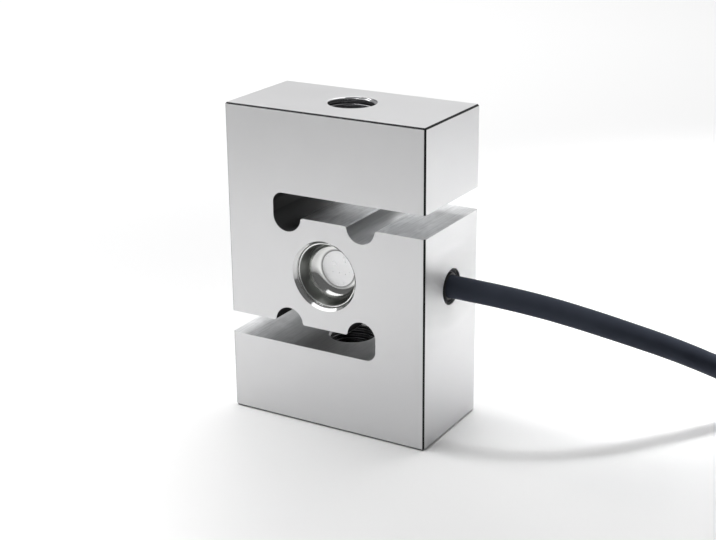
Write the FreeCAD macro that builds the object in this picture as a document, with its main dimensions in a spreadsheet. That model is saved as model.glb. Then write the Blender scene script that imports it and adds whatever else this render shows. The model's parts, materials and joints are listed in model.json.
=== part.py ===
import FreeCAD, Part

import math
import os

import Sketcher
from FreeCAD import Placement, Rotation, Vector

# An S-beam load cell: a one-piece steel body with two slots and four relief holes, a gauge
# bore closed by two drawn cups, four strain gauges and their wiring inside, and a cable.
# Millimetres. The origin is the middle of the body's base, X runs to the cable side,
# the front face looks along -Y and Z is up.

doc = FreeCAD.newDocument("LoadCell")

# Driving dimensions

SIZES = [
    # body
    ("body_width", 50.8),
    ("body_depth", 25.4),
    ("body_height", 74.0),
    ("edge_break", 0.4),
    ("slot_offset", 15.4),
    ("slot_gap", 5.3),
    ("slot_reach", 13.1),
    ("slot_corner", 2.4),
    ("relief_radius", 3.6),
    ("relief_blend", 0.5),
    ("cut_overrun", 1.0),
    ("gauge_bore_radius", 7.65),
    ("gauge_bore_break", 0.6),
    ("thread_radius", 6.0),
    ("thread_mouth", 0.25),
    ("bush_bore_radius", 4.2),
    ("bush_bore_depth", 9.0),
    ("core_passage_radius", 3.4),
    ("cable_drop", 1.8),
    # seal cups
    ("cup_recess", 1.2),
    ("cup_clearance", 0.05),
    ("cup_wall", 0.4),
    ("cup_corner", 3.0),
    ("cavity_half", 6.1),
    ("cup_rim_round", 0.12),
    # strain gauges
    ("gauge_length", 7.0),
    ("gauge_width", 4.0),
    ("carrier_thickness", 0.2),
    ("foil_thickness", 0.1),
    ("foil_margin", 0.5),
    ("foil_strands", 6),
    ("foil_strand_width", 0.34),
    ("foil_loop_length", 0.4),
    ("foil_tab_gap", 0.2),
    ("foil_tab_length", 1.2),
    ("gauge_lead_radius", 0.15),
    ("gauge_lead_spacing", 1.6),
    ("gauge_lead_overlap", 0.8),
    ("gauge_lead_clear", 0.3),
    ("gauge_pad_radius", 5.2),
    # terminal board
    ("board_radius", 6.3),
    ("board_thickness", 0.8),
    ("board_glue", 0.4),
    ("board_glue_radius", 3.8),
    ("resistor_length", 2.6),
    ("resistor_width", 1.4),
    ("resistor_thickness", 0.6),
    ("resistor_cap", 0.45),
    ("resistor_cap_lip", 0.05),
    ("upper_resistor_across", 2.3),
    ("upper_resistor_up", 2.3),
    ("lower_resistor_up", -4.3),
    ("side_resistor_across", -3.4),
    ("side_resistor_up", -0.3),
    ("solder_height", 0.5),
    ("solder_foot", 0.62),
    ("solder_top", 0.3),
    ("lead_solder_foot", 0.36),
    # cable inside the body
    ("cable_radius", 2.6),
    ("jacket_wall", 0.75),
    ("shield_wall", 0.15),
    ("shield_bare", 1.2),
    ("jacket_entry", 12.4),
    ("core_radius", 0.55),
    ("core_spacing", 1.5),
    ("near_pad_across", 1.5),
    ("pad_pitch", 3.0),
    ("drain_radius", 0.2),
    ("drain_up", 1.2),
    ("seal_length", 3.4),
    ("bush_clearance", 0.05),
    ("bush_recess", 0.5),
    ("bush_collar_radius", 3.15),
    ("bush_collar_height", 0.4),
    ("bush_round", 0.18),
    ("cable_start", 2.0),
    # cable outside the body
    ("arc_share", 0.45),
    ("coil_centre_across", 120.0),
    ("coil_centre_back", 22.5),
    ("coil_middle_radius", 26.65),
    ("coil_columns", 3.25),
    ("coil_layers", 5),
    ("coil_top_columns", 2.02),
    ("coil_round", 1.6),
    ("tie_thickness", 0.9),
    ("tie_width", 3.6),
    ("tie_angle", 60.0),
    ("tie_head_length", 5.4),
    ("tie_head_width", 5.0),
    ("tie_head_height", 3.6),
    ("tie_tail_length", 4.0),
    ("end_radius", 21.4),
    ("end_angle", 262.0),
    ("tail_angle", 66.0),
    ("tail_start_radius", 28.0),
    ("tail_sink", 0.3),
    ("end_sleeve_angle", 24.0),
    ("end_sleeve_wall", 0.35),
    ("flying_lead_radius", 0.55),
    ("flying_lead_drop_angle", 20.0),
    ("upper_lead_drop_angle", 28.0),
    ("flying_lead_angle", 66.0),
    ("flying_lead_inside_angle", 4.0),
    ("flying_lead_pitch", 1.6),
    ("tinned_tip_radius", 0.4),
    ("tinned_tip_angle", 14.0),
]

sheet = doc.addObject("Spreadsheet::Sheet", "Sizes")
for row, (alias, value) in enumerate(SIZES, start=1):
    sheet.set("A%d" % row, alias)
    sheet.set("B%d" % row, str(value))
    sheet.setAlias("B%d" % row, alias)
doc.recompute()


def size(alias):
    return float(sheet.get(alias))


# Places that several pieces share, as text for the sheet and as numbers

BORE_UP = "Sizes.body_height / 2"
CABLE_UP = "Sizes.body_height / 2 - Sizes.cable_drop"
CUP_DEPTH = "Sizes.body_depth / 2 - Sizes.cup_recess - Sizes.cup_wall - Sizes.cavity_half"
bore_up = size("body_height") / 2
cable_up = bore_up - size("cable_drop")
right_face = size("body_width") / 2
cable_start = right_face - size("cable_start")
cup_depth = size("body_depth") / 2 - size("cup_recess") - size("cup_wall") - size("cavity_half")
board_back = size("cavity_half") - size("board_glue")
board_face = board_back - size("board_thickness")
relief_across = size("slot_reach") - size("relief_radius")
relief_up = size("slot_offset") - size("slot_gap") / 2
gauge_turn = math.degrees(math.atan2(relief_up, relief_across))
gauge_turns = [gauge_turn, 180 - gauge_turn, 180 + gauge_turn, 360 - gauge_turn]


# Helpers for sketches


def origin_plane(body, role):
    return next(f for f in body.Origin.OriginFeatures if f.Role == role)


def sketch_on(body, name, role):
    sketch = body.newObject("Sketcher::SketchObject", name)
    sketch.AttachmentSupport = [(origin_plane(body, role), "")]
    sketch.MapMode = "FlatFace"
    return sketch


def bound(sketch, constraint, text):
    index = sketch.addConstraint(constraint)
    sketch.setExpression("Constraints[%d]" % index, text)


def outline(sketch, corners):
    """A closed outline of straight lines, each corner placed by two texts for the sheet."""
    first, count = sketch.GeometryCount, len(corners)
    turns = [2 * math.pi * i / count for i in range(count)]
    start = [Vector(math.cos(turn), math.sin(turn)) for turn in turns]
    for i in range(count):
        sketch.addGeometry(Part.LineSegment(start[i], start[(i + 1) % count]), False)
    for i in range(count):
        sketch.addConstraint(Sketcher.Constraint("Coincident", first + i, 2, first + (i + 1) % count, 1))
    for i, place in enumerate(corners):
        for kind, axis, text in zip(("DistanceX", "DistanceY"), (-2, -1), place):
            if text == "0":
                sketch.addConstraint(Sketcher.Constraint("PointOnObject", first + i, 1, axis))
            else:
                bound(sketch, Sketcher.Constraint(kind, -1, 1, first + i, 1, start[i].Length), text)


def rectangle(sketch, left, right, low, high):
    outline(sketch, [(left, low), (right, low), (right, high), (left, high)])


def circle(sketch, across, up, radius):
    index = sketch.addGeometry(Part.Circle(Vector(1, 1, 0), Vector(0, 0, 1), 1), False)
    for kind, axis, text in (("DistanceX", -2, across), ("DistanceY", -1, up)):
        if text == "0":
            sketch.addConstraint(Sketcher.Constraint("PointOnObject", index, 3, axis))
        else:
            bound(sketch, Sketcher.Constraint(kind, -1, 1, index, 3, 1), text)
    bound(sketch, Sketcher.Constraint("Radius", index, 1), radius)


# Helpers for PartDesign features


def cut_into(pocket, before):
    """Recomputes a pocket and makes sure that it took material away."""
    doc.recompute()
    if not pocket.Shape.Volume < before:
        raise ValueError("%s cuts nothing" % pocket.Label)
    return pocket


def through(body, name, sketch):
    """A pocket right through the body, both ways from its sketch."""
    before = body.Tip.Shape.Volume
    pocket = body.newObject("PartDesign::Pocket", name)
    pocket.Profile = sketch
    pocket.Type = "ThroughAll"
    pocket.SideType = "Symmetric"
    return cut_into(pocket, before)


def pocket_to(body, name, sketch, depth, backwards=False):
    before = body.Tip.Shape.Volume
    pocket = body.newObject("PartDesign::Pocket", name)
    pocket.Profile = sketch
    pocket.Reversed = backwards
    pocket.setExpression("Length", depth)
    return cut_into(pocket, before)


def edges_near(feature, places, reach=0.01):
    """Names of the edges whose middle, or centre for a whole circle, lies at one of the places."""
    names, found = [], set()
    for number, edge in enumerate(feature.Shape.Edges, start=1):
        curve = edge.Curve
        whole = isinstance(curve, Part.Circle) and edge.Closed
        middle = curve.Center if whole else edge.valueAt((edge.FirstParameter + edge.LastParameter) / 2)
        for place in places:
            if middle.distanceToPoint(place) < reach:
                names.append("Edge%d" % number)
                found.add(tuple(place))
    if len(found) < len(places):
        raise ValueError("%s lacks an edge at a place" % feature.Label)
    return names


def rounded(body, name, feature, names, radius):
    fillet = body.newObject("PartDesign::Fillet", name)
    fillet.Base = (feature, names)
    fillet.setExpression("Radius", radius)
    doc.recompute()
    return fillet


def chamfered(body, name, feature, names, width):
    chamfer = body.newObject("PartDesign::Chamfer", name)
    chamfer.Base = (feature, names)
    chamfer.setExpression("Size", width)
    doc.recompute()
    return chamfer


def turned(body, name, sketch, role):
    """A revolution of the sketch about one of the body's own axes."""
    turn = body.newObject("PartDesign::Revolution", name)
    turn.Profile = sketch
    turn.ReferenceAxis = (next(f for f in body.Origin.OriginFeatures if f.Role == role), [""])
    turn.Angle = 360
    doc.recompute()
    return turn


# Helpers for wires and cables


def unit(vector):
    return Vector(vector).normalize()


def rounded_path(points, radii=None):
    """Straight runs joined by tangent arcs, each as large as its two runs allow."""
    share = size("arc_share")
    edges, start = [], points[0]
    for before, corner, after in zip(points, points[1:], points[2:]):
        run_in, run_out = corner - before, after - corner
        turn = run_in.getAngle(run_out)
        reach = share * min(run_in.Length, run_out.Length)
        radius = reach / math.tan(turn / 2)
        if radii is not None:
            radii.append(radius)
        enter, leave = corner - unit(run_in) * reach, corner + unit(run_out) * reach
        middle = corner + unit(unit(run_out) - unit(run_in)) * (radius / math.cos(turn / 2) - radius)
        edges.append(Part.LineSegment(start, enter).toShape())
        edges.append(Part.Arc(enter, middle, leave).toShape())
        start = leave
    edges.append(Part.LineSegment(start, points[-1]).toShape())
    return Part.Wire(edges)


def tube_along(path, radius):
    """A round solid along a path that starts along its first edge."""
    first = path.Edges[0]
    start = first.valueAt(first.FirstParameter)
    heading = first.tangentAt(first.FirstParameter)
    section = Part.Wire([Part.makeCircle(radius, start, heading)])
    return path.makePipeShell([section], True, False)


def checked_tube(name, path, radius):
    solid = tube_along(path, radius)
    expected = math.pi * radius ** 2 * path.Length
    if abs(solid.Volume / expected - 1) > 0.01:
        raise ValueError("%s has the volume %.3f and not %.3f" % (name, solid.Volume, expected))
    return solid


def set_shape(name, shape):
    made = doc.addObject("Part::Feature", name)
    made.Label = name
    made.Shape = shape
    return made


def new_body(name):
    body = doc.addObject("PartDesign::Body", name)
    body.Label = name
    return body


def placed(thing, across, back, up):
    for axis, text in zip("xyz", (across, back, up)):
        thing.setExpression("Placement.Base." + axis, text)


# Steel body, milled from one bar


def make_load_cell_body():
    body = new_body("load_cell_body")
    half_width, height = "Sizes.body_width / 2", "Sizes.body_height"

    face = sketch_on(body, "BlankOutline", "XZ_Plane")
    rectangle(face, "-" + half_width, half_width, "0", height)
    blank = body.newObject("PartDesign::Pad", "Blank")
    blank.Profile = face
    blank.SideType = "Symmetric"
    blank.setExpression("Length", "Sizes.body_depth")
    doc.recompute()
    every_edge = ["Edge%d" % number for number in range(1, len(blank.Shape.Edges) + 1)]
    chamfered(body, "EdgeBreak", blank, every_edge, "Sizes.edge_break")

    past = half_width + " + Sizes.cut_overrun"
    high_slot = BORE_UP + " + Sizes.slot_offset"
    low_slot = BORE_UP + " - Sizes.slot_offset"
    half_gap = "Sizes.slot_gap / 2"
    slots = sketch_on(body, "SlotOutlines", "XZ_Plane")
    for middle, left, right in (
        (high_slot, "-Sizes.slot_reach", past),
        (low_slot, "-(%s)" % past, "Sizes.slot_reach"),
    ):
        rectangle(slots, left, right, middle + " - " + half_gap, middle + " + " + half_gap)
    through(body, "Slots", slots)

    # The lower slot's holes are the upper ones turned half a turn, sketch and all
    relief = "Sizes.slot_reach - Sizes.relief_radius"
    for name, turn, up in (
        ("HighRelief", 0, high_slot + " - " + half_gap),
        ("LowRelief", 180, "-(%s + %s)" % (low_slot, half_gap)),
    ):
        holes = sketch_on(body, name + "Outlines", "XZ_Plane")
        holes.AttachmentOffset = Placement(Vector(0, 0, 0), Rotation(Vector(0, 0, 1), turn))
        for across in ("-(%s)" % relief, relief):
            circle(holes, across, up, "Sizes.relief_radius")
        reliefs = through(body, name + "Holes", holes)

    slot_end = size("slot_offset") + size("slot_gap") / 2
    ends = [Vector(side * size("slot_reach"), 0, bore_up - side * slot_end) for side in (-1, 1)]
    corners = rounded(body, "SlotCorners", reliefs, edges_near(reliefs, ends), "Sizes.slot_corner")

    inner = relief_across - size("relief_radius")
    lips = []
    for side in (-1, 1):
        for across in (-inner, inner, side * size("slot_reach")):
            lips.append(Vector(across, 0, bore_up + side * relief_up))
    rounded(body, "ReliefBlends", corners, edges_near(corners, lips), "Sizes.relief_blend")

    bore = sketch_on(body, "GaugeBoreOutline", "XZ_Plane")
    circle(bore, "0", BORE_UP, "Sizes.gauge_bore_radius")
    gauge_bore = through(body, "GaugeBore", bore)
    mouths = [Vector(0, side * size("body_depth") / 2, bore_up) for side in (-1, 1)]
    names = edges_near(gauge_bore, mouths)
    chamfered(body, "GaugeBoreMouths", gauge_bore, names, "Sizes.gauge_bore_break")

    arm = "%s - Sizes.slot_offset" % BORE_UP
    low_thread = sketch_on(body, "LowThreadOutline", "XY_Plane")
    circle(low_thread, "0", "0", "Sizes.thread_radius")
    pocket_to(body, "LowThreadHole", low_thread, arm, backwards=True)
    high_thread = sketch_on(body, "HighThreadOutline", "XY_Plane")
    high_thread.setExpression("AttachmentOffset.Base.z", height)
    circle(high_thread, "0", "0", "Sizes.thread_radius")
    threads = pocket_to(body, "HighThreadHole", high_thread, arm)
    mouths = [Vector(0, 0, up) for up in (0, size("body_height"))]
    names = edges_near(threads, mouths)
    chamfered(body, "ThreadMouths", threads, names, "Sizes.thread_mouth")

    for name, radius, depth in (
        ("BushBore", "Sizes.bush_bore_radius", "Sizes.bush_bore_depth"),
        ("CorePassage", "Sizes.core_passage_radius", half_width),
    ):
        mouth = sketch_on(body, name + "Outline", "YZ_Plane")
        mouth.setExpression("AttachmentOffset.Base.z", half_width)
        circle(mouth, "0", CABLE_UP, radius)
        pocket_to(body, name, mouth, depth)


# Drawn cups that close the gauge bore, front and rear


def make_seal_cup(name, side):
    body = new_body(name)
    inner = "Sizes.gauge_bore_radius - Sizes.cup_clearance - Sizes.cup_wall"
    outer = "Sizes.gauge_bore_radius - Sizes.cup_clearance"
    depth, deep = CUP_DEPTH, CUP_DEPTH + " + Sizes.cup_wall"
    half = sketch_on(body, name + "_half", "XZ_Plane")
    outline(half, [("0", inner), (depth, inner), (depth, "0"), (deep, "0"), (deep, outer), ("0", outer)])
    cup = turned(body, name + "_turn", half, "X_Axis")
    names = edges_near(cup, [Vector(cup_depth, 0, 0)])
    cup = rounded(body, name + "_inner_corner", cup, names, "Sizes.cup_corner")
    names = edges_near(cup, [Vector(cup_depth + size("cup_wall"), 0, 0)])
    cup = rounded(body, name + "_outer_corner", cup, names, "Sizes.cup_corner + Sizes.cup_wall")
    names = edges_near(cup, [Vector(0, 0, 0)])
    rounded(body, name + "_rim", cup, names, "Sizes.cup_rim_round")
    body.Placement.Rotation = Rotation(Vector(0, 0, 1), -side * 90)
    rim = "(Sizes.body_depth / 2 - Sizes.cup_recess)"
    placed(body, "0", ("" if side > 0 else "-") + rim, BORE_UP)


# Strain gauges on the bore's wall, at the four thin places beside the relief holes


def polar(radius, turn, back):
    angle = math.radians(turn)
    return Vector(radius * math.cos(angle), back, bore_up + radius * math.sin(angle))


def shell_patch(inner, outer, from_angle, to_angle, front, back):
    """A patch of a tube about the gauge bore's axis, its angles counted up from +X."""
    axis = Vector(0, -1, 0)
    outline_places = ((inner, front), (outer, front), (outer, back), (inner, back))
    corners = [polar(radius, 0, place) for radius, place in outline_places]
    section = Part.Face(Part.makePolygon(corners + corners[:1]))
    section.rotate(Vector(0, 0, bore_up), axis, from_angle)
    return section.revolve(Vector(0, 0, bore_up), axis, to_angle - from_angle)


def make_strain_gauge(number, turn):
    wall = size("gauge_bore_radius")
    carrier_top = wall - size("carrier_thickness")
    foil_top = carrier_top - size("foil_thickness")
    half_length = size("gauge_length") / 2
    half_turn = math.degrees(size("gauge_width") / 2 / wall)
    left, right = turn - half_turn, turn + half_turn
    carrier = shell_patch(carrier_top, wall, left, right, -half_length, half_length)
    set_shape("gauge_carrier_%d" % number, carrier)

    count = int(size("foil_strands"))
    margin = size("foil_margin")
    edge = math.degrees(margin / wall)
    strand = math.degrees(size("foil_strand_width") / wall)
    low, high = left + edge, right - edge
    step = (high - low - strand) / (count - 1)
    front, back = -half_length + margin, half_length - margin
    tab_front = back - size("foil_tab_length")
    grid_back = tab_front - size("foil_tab_gap")
    loop = size("foil_loop_length")
    foil = []
    for i in range(count):
        start = low + i * step
        reach = tab_front if i in (0, count - 1) else grid_back
        foil.append(shell_patch(foil_top, carrier_top, start, start + strand, front, reach))
    for i in range(count - 1):
        near = front if i % 2 == 0 else grid_back - loop
        start, end = low + i * step, low + (i + 1) * step + strand
        foil.append(shell_patch(foil_top, carrier_top, start, end, near, near + loop))
    middle, gap = (low + high) / 2, strand / 2
    foil.append(shell_patch(foil_top, carrier_top, low, middle - gap, tab_front, back))
    foil.append(shell_patch(foil_top, carrier_top, middle + gap, high, tab_front, back))
    set_shape("gauge_foil_%d" % number, foil[0].multiFuse(foil[1:]).removeSplitter())


def gauge_lead_turns(turn):
    half = math.degrees(size("gauge_lead_spacing") / 2 / size("gauge_bore_radius"))
    return turn - half, turn + half


def make_gauge_leads(number, turn):
    """Two fine wires from the gauge's tabs to the terminal board."""
    radius = size("gauge_lead_radius")
    surface = size("gauge_bore_radius") - size("carrier_thickness") - size("foil_thickness") - radius
    gauge_end = size("gauge_length") / 2
    wires = []
    for lead_turn in gauge_lead_turns(turn):
        points = [
            polar(surface, lead_turn, gauge_end - size("foil_margin") - size("gauge_lead_overlap")),
            polar(surface, lead_turn, gauge_end + size("gauge_lead_clear")),
            polar(size("gauge_pad_radius"), lead_turn, gauge_end + size("gauge_lead_clear")),
            polar(size("gauge_pad_radius"), lead_turn, board_face),
        ]
        wires.append(checked_tube("gauge lead", rounded_path(points), radius))
    return set_shape("gauge_leads_%d" % number, Part.makeCompound(wires))


# Terminal board behind the rear cup's floor, with its trimming resistors


def make_terminal_board():
    for name, radius, front, thickness in (
        ("board_glue_pad", "Sizes.board_glue_radius", board_back, "Sizes.board_glue"),
        ("terminal_board", "Sizes.board_radius", board_face, "Sizes.board_thickness"),
    ):
        disc = doc.addObject("Part::Cylinder", name)
        disc.Label = name
        disc.setExpression("Radius", radius)
        disc.setExpression("Height", thickness)
        disc.Placement = Placement(Vector(0, front, bore_up), Rotation(Vector(1, 0, 0), -90))


def make_resistor(name, across, up, upright=False):
    """A chip on the board's front face: a ceramic bar with a metal cap at each end."""
    length, width, thickness = size("resistor_length"), size("resistor_width"), size("resistor_thickness")
    cap, lip = size("resistor_cap"), size("resistor_cap_lip")
    bar = Part.makeBox(length, thickness - lip, width - 2 * lip, Vector(-length / 2, 0, -width / 2 + lip))
    starts = (-length / 2, length / 2 - cap)
    caps = [Part.makeBox(cap, thickness, width, Vector(start, -lip, -width / 2)) for start in starts]
    chip = bar.multiFuse(caps)
    if upright:
        chip.rotate(Vector(0, 0, 0), Vector(0, 1, 0), 90)
    chip.translate(Vector(across, board_face - thickness + lip, bore_up + up))
    set_shape(name, chip)


# Cable inside the body


def core_places():
    """Each core's name, its place in the cable's section, and where it meets the board."""
    half = size("core_spacing") / 2
    near, far = size("near_pad_across"), size("near_pad_across") + size("pad_pitch")
    return [
        ("red", -half, half, near),
        ("black", half, half, far),
        ("green", -half, -half, near),
        ("white", half, -half, far),
    ]


def inner_core(back, up, pad_across):
    points = [
        Vector(cable_start, back, cable_up + up),
        Vector(pad_across, back, cable_up + up),
        Vector(pad_across, board_face, cable_up + up),
    ]
    return rounded_path(points)


def make_inner_cable():
    entry = size("jacket_entry")
    outer = size("cable_radius")
    bore = outer - size("jacket_wall")
    shield_bore = bore - size("shield_wall")
    for name, radius, hollow, start in (
        ("cable_jacket", outer, bore, entry),
        ("cable_shield", bore, shield_bore, entry - size("shield_bare")),
    ):
        length = cable_start - start
        base, axis = Vector(start, 0, cable_up), Vector(1, 0, 0)
        solid = Part.makeCylinder(radius, length, base, axis)
        set_shape(name, solid.cut(Part.makeCylinder(hollow, length, base, axis)))
    ends = []
    for colour, back, up, pad_across in core_places():
        path = inner_core(back, up, pad_across)
        core = set_shape("core_" + colour, checked_tube(colour, path, size("core_radius")))
        ends.append((core, Vector(pad_across, board_face, cable_up + up)))
    middle_pad = size("near_pad_across") + size("pad_pitch") / 2
    path = inner_core(0, size("drain_up"), middle_pad)
    drain = set_shape("drain_wire", checked_tube("drain wire", path, size("drain_radius")))
    ends.append((drain, Vector(middle_pad, board_face, cable_up + size("drain_up"))))
    return ends


def make_solder(board_ends, gauge_leads):
    """Solder round each wire on the board, and on each gauge's tabs."""
    outward = Vector(0, -1, 0)
    foot, top, height = size("lead_solder_foot"), size("gauge_lead_radius"), size("solder_height")
    board_joints, tab_joints = [], []
    foil_top = size("gauge_bore_radius") - size("carrier_thickness") - size("foil_thickness")
    seat = math.sqrt(foil_top ** 2 - foot ** 2)
    for wire, place in board_ends:
        cone = Part.makeCone(size("solder_foot"), size("solder_top"), height, place, outward)
        board_joints.append(cone.cut(wire.Shape))
    for turn, leads in gauge_leads:
        for lead_turn in gauge_lead_turns(turn):
            spot = polar(size("gauge_pad_radius"), lead_turn, board_face)
            cone = Part.makeCone(foot, top, height, spot, outward)
            board_joints.append(cone.cut(leads.Shape))
            back = size("gauge_length") / 2 - size("foil_margin") - size("gauge_lead_overlap") / 2
            spot = polar(seat, lead_turn, back)
            inward = Vector(0, back, bore_up) - spot
            cone = Part.makeCone(foot, top, height, spot, inward)
            tab_joints.append(cone.cut(leads.Shape))
    set_shape("board_solder", Part.makeCompound([s for j in board_joints for s in j.Solids]))
    set_shape("gauge_tab_solder", Part.makeCompound([s for j in tab_joints for s in j.Solids]))


def make_cable_seal():
    """Set sealant round the cable's jacket, behind the bush."""
    end = right_face - size("bush_bore_depth")
    base, axis = Vector(end - size("seal_length"), 0, cable_up), Vector(1, 0, 0)
    plug = Part.makeCylinder(size("core_passage_radius"), size("seal_length"), base, axis)
    hollow = Part.makeCylinder(size("cable_radius"), size("seal_length"), base, axis)
    set_shape("cable_seal", plug.cut(hollow))


def make_cable_bush():
    body = new_body("cable_bush")
    length = "Sizes.bush_bore_depth - Sizes.bush_recess"
    outer = "Sizes.bush_bore_radius - Sizes.bush_clearance"
    collar, tip = "Sizes.bush_collar_radius", length + " + Sizes.bush_collar_height"
    bore = "Sizes.cable_radius"
    half = sketch_on(body, "BushHalf", "XZ_Plane")
    corners = [("0", bore), ("0", outer), (length, outer), (length, collar), (tip, collar), (tip, bore)]
    outline(half, corners)
    bush = turned(body, "BushTurn", half, "X_Axis")
    face = size("bush_bore_depth") - size("bush_recess")
    tip_face = face + size("bush_collar_height")
    names = []
    for at, radius in (
        (face, size("bush_bore_radius") - size("bush_clearance")),
        (tip_face, size("bush_collar_radius")),
    ):
        for number, edge in enumerate(bush.Shape.Edges, start=1):
            curve = edge.Curve
            if not isinstance(curve, Part.Circle):
                continue
            if abs(curve.Center.x - at) + abs(curve.Radius - radius) < 0.01:
                names.append("Edge%d" % number)
    rounded(body, "BushRounds", bush, names, "Sizes.bush_round")
    placed(body, "Sizes.body_width / 2 - Sizes.bush_bore_depth", "0", CABLE_UP)


# Free cable: where it leaves the bush, how it falls, and the coil it ends in

# The first point after the start is level with it, so that the cable leaves the bush squarely
CABLE_ROUTE = [
    Vector(34.5, 0.0, cable_up),
    Vector(48.5, 3.4, 33.0),
    Vector(61.5, 12.0, 27.3),
    Vector(71.5, 24.0, 20.0),
    Vector(80.5, 36.2, 11.6),
    Vector(89.0, 45.5, 5.4),
    Vector(100.0, 50.9, size("cable_radius")),
    Vector(111.3, 53.4, size("cable_radius")),
]


def make_free_cable():
    radius = size("cable_radius")
    centre = Vector(size("coil_centre_across"), size("coil_centre_back"), 0)
    width = 2 * radius * size("coil_columns")
    inside = size("coil_middle_radius") - width / 2
    outside = size("coil_middle_radius") + width / 2
    level = 2 * radius
    height = level * size("coil_layers")
    step_height = height - level
    step_radius = outside - level * size("coil_top_columns")

    half = [(inside, 0), (outside, 0), (outside, height), (step_radius, height)]
    half += [(step_radius, step_height), (inside, step_height)]
    corners = [centre + Vector(across, 0, up) for across, up in half]
    face = Part.Face(Part.makePolygon(corners + corners[:1]))
    ring = face.revolve(centre, Vector(0, 0, 1), 360)
    edges = []
    for edge in ring.Edges:
        if isinstance(edge.Curve, Part.Circle):
            off_step = abs(edge.Curve.Center.z - step_height) + abs(edge.Curve.Radius - step_radius)
            if off_step > 0.01:
                edges.append(edge)
    ring = ring.makeFillet(size("coil_round"), edges)

    tie = make_coil_tie(centre, inside, outside, height, step_radius, step_height)
    tail = make_cable_tail(centre, step_height)
    set_shape("cable_coil", ring.fuse(tail).removeSplitter().cut(tie))

    radii = []
    route = [Vector(cable_start, 0, cable_up)] + CABLE_ROUTE
    path = rounded_path(route, radii)
    print("cable radii:", " ".join("%.1f" % r for r in radii), "length: %.1f" % path.Length)
    tube = checked_tube("cable", path, radius)
    set_shape("cable_tube", tube.cut(ring))
    make_cable_end(centre, step_height)


def make_coil_tie(centre, inside, outside, height, step_radius, step_height):
    """A nylon tie pulled tight round the coil's turns, its head on the slope of the top."""
    thick = size("tie_thickness")
    hull = [
        (inside, thick),
        (outside, thick),
        (outside, height),
        (step_radius, height),
        (inside, step_height),
    ]
    corners = [Vector(across, 0, up) for across, up in hull]
    inner = Part.makePolygon(corners + corners[:1])
    band = Part.Face(inner.makeOffset2D(thick)).cut(Part.Face(inner))
    width = size("tie_width")
    strap = band.extrude(Vector(0, width, 0))
    strap.translate(Vector(0, -width / 2, 0))
    slope = Vector(step_radius - inside, 0, height - step_height)
    tilt = -math.degrees(math.atan2(slope.z, slope.x))
    length, head_width = size("tie_head_length"), size("tie_head_width")
    head_height = size("tie_head_height")
    head = Part.makeBox(length, head_width, head_height, Vector(-length / 2, -head_width / 2, 0))
    tail_foot = Vector(length / 2 - 2 * thick, -width / 2, head_height)
    head = head.fuse(Part.makeBox(thick, width, size("tie_tail_length"), tail_foot))
    head.rotate(Vector(0, 0, 0), Vector(0, 1, 0), tilt)
    middle = (corners[3] + corners[4]) / 2
    head.translate(middle)
    tie = strap.fuse(head).removeSplitter()
    tie.rotate(Vector(0, 0, 0), Vector(0, 0, 1), size("tie_angle"))
    tie.translate(centre)
    set_shape("coil_tie", tie)
    return tie


# Far end of the cable: a shrunk sleeve and stripped leads, lying on the coil


def ring_place(centre, ring_radius, angle, up):
    turn = math.radians(angle)
    return centre + Vector(ring_radius * math.cos(turn), ring_radius * math.sin(turn), up)


def make_cable_tail(centre, shelf):
    """The last stretch of the coil's top layer, wound inwards onto the shelf."""
    end, span = size("end_angle"), size("tail_angle")
    outer, inner = size("tail_start_radius"), size("end_radius")
    up = shelf + size("cable_radius") - size("tail_sink")
    points = []
    for share in (1, 0.75, 0.5, 0.25, 0, -0.2):
        eased = share * share * (3 - 2 * share) if share > 0 else 0
        ring_radius = inner + (outer - inner) * eased
        points.append(ring_place(centre, ring_radius, end + span * share, up))
    tail = checked_tube("tail", rounded_path(points), size("cable_radius"))
    # Cut off square where the sleeve starts
    side = 4 * size("cable_radius")
    past = Part.makeBox(side, side, side, Vector(0, -side / 2, -side / 2))
    past.rotate(Vector(0, 0, 0), Vector(0, 0, 1), end - 90)
    past.translate(ring_place(centre, inner, end, up))
    return tail.cut(past)


def make_cable_end(centre, shelf):
    """A shrunk sleeve over the jacket's end, and four leads that fan out of it onto the shelf."""
    ring, lead_radius, half = size("end_radius"), size("flying_lead_radius"), size("core_spacing") / 2
    jacket_up = shelf + size("cable_radius")
    start = size("end_angle")
    sleeve_end = start - size("end_sleeve_angle")
    sleeve_radius = size("cable_radius") + size("end_sleeve_wall")
    angles = (start, (start + sleeve_end) / 2, sleeve_end)
    places = [ring_place(centre, ring, angle, shelf + sleeve_radius) for angle in angles]
    sleeve = checked_tube("sleeve", Part.Wire([Part.Arc(*places).toShape()]), sleeve_radius)

    inside = sleeve_end + size("flying_lead_inside_angle")
    lead_end = sleeve_end - size("flying_lead_angle")
    tip_end = lead_end - size("tinned_tip_angle")
    leads = [("white", 1, 1), ("green", 1, -1), ("black", -1, 1), ("red", -1, -1)]
    for i, (colour, side, level) in enumerate(leads):
        fan = ring + (i - (len(leads) - 1) / 2) * size("flying_lead_pitch")
        drop = size("upper_lead_drop_angle") if level > 0 else size("flying_lead_drop_angle")
        lay_down = sleeve_end - drop
        middle = (lay_down + lead_end) / 2
        lain = shelf + lead_radius
        points = [
            ring_place(centre, ring - side * half, inside, jacket_up + level * half),
            ring_place(centre, fan, lay_down, lain),
            ring_place(centre, fan, middle, lain),
            ring_place(centre, fan, lead_end, lain),
        ]
        lead = checked_tube(colour, rounded_path(points), lead_radius)
        sleeve = sleeve.cut(lead)
        set_shape("flying_lead_" + colour, lead)
        tip_path = ring_place(centre, fan, tip_end, lain) - points[-1]
        tip = Part.makeCylinder(size("tinned_tip_radius"), tip_path.Length, points[-1], tip_path)
        set_shape("lead_tip_" + colour, tip.cut(lead))
    set_shape("end_sleeve", sleeve)


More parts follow.
